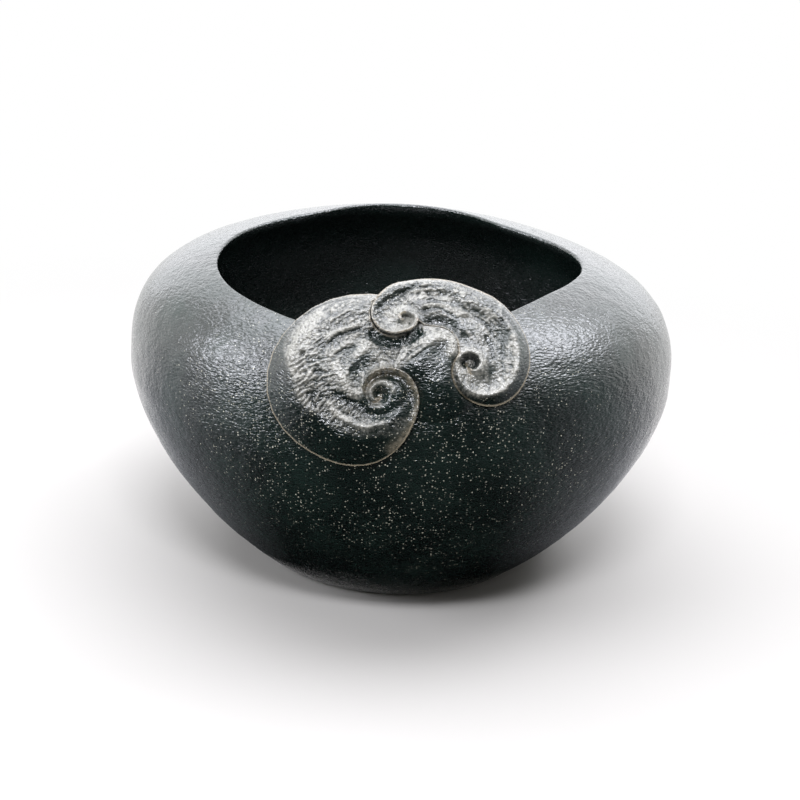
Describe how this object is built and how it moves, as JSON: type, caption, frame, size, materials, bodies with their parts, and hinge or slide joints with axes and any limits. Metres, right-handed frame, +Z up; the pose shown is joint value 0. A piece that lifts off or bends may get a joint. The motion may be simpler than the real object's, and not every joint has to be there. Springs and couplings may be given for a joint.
{
  "type": "tea basin",
  "caption": "Squat round stone tea basin with an incurved shoulder, a wide hand-cut mouth and a carved relief of scrolled fungus caps over the front of its lip.",
  "frame": {"origin": "centre of the flat base, on the table", "axes": "+Z up along the basin's axis, -Y towards the side with the relief, +X to the right seen from that side"},
  "size_m": [0.14, 0.1443, 0.0878],
  "materials": {
    "polished_stone": "satin, with a fine hand-worked ripple and pale flecks",
    "carved_stone": "satin in the hollows, dry and dusty on the crests"
  },
  "bodies": {
    "root": {"basin": "polished_stone", "left_cap": "carved_stone", "right_cap": "carved_stone", "stem": "polished_stone"}
  },
  "joints": []
}
